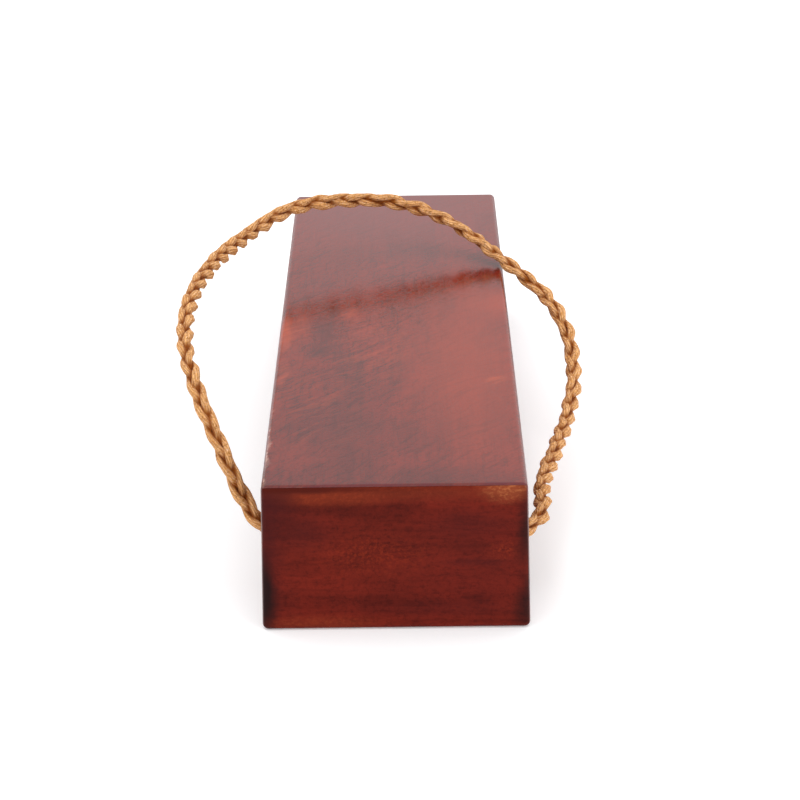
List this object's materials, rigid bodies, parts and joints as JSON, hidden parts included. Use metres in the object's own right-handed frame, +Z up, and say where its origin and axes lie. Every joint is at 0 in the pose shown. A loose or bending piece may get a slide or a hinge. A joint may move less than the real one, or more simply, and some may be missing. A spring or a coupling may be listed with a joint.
{
  "type": "box guiro",
  "caption": "Hollow wooden box guiro with scraping ridges underneath, a side sound slot and a swinging plaited cord loop handle.",
  "frame": {"origin": "middle of the box's underside, on the surface that the ridge crests rest on", "axes": "+Z up through the plain back of the box, +Y along the box away from the handle end, +X to the right seen from the handle end"},
  "size_m": [0.1111, 0.205, 0.0601],
  "materials": {
    "stained_back": "red-brown stained hardwood with a thin satin lacquer",
    "stained_sides": "red-brown stained hardwood with a thin satin lacquer",
    "stained_ends": "dark red-brown stained hardwood, satin, with stain gathered along the edges",
    "plaited_cord": "tan three-strand plaited cord, matt with a slight sheen"
  },
  "bodies": {
    "box": {"back_board": "stained_back", "ridged_board": "stained_sides", "left_side_wall": "stained_sides", "right_side_wall": "stained_sides", "handle_end_board": "stained_ends", "far_end_board": "stained_ends"},
    "handle": {"rope_handle": "plaited_cord", "left_knot": "plaited_cord", "right_knot": "plaited_cord"}
  },
  "joints": [
    {"name": "handle_swing", "type": "hinge", "parent": "box", "child": "handle", "pos_m": [0, -0.0875, 0.02025], "axis": [1, 0, 0], "range_deg": [0, 150]}
  ]
}
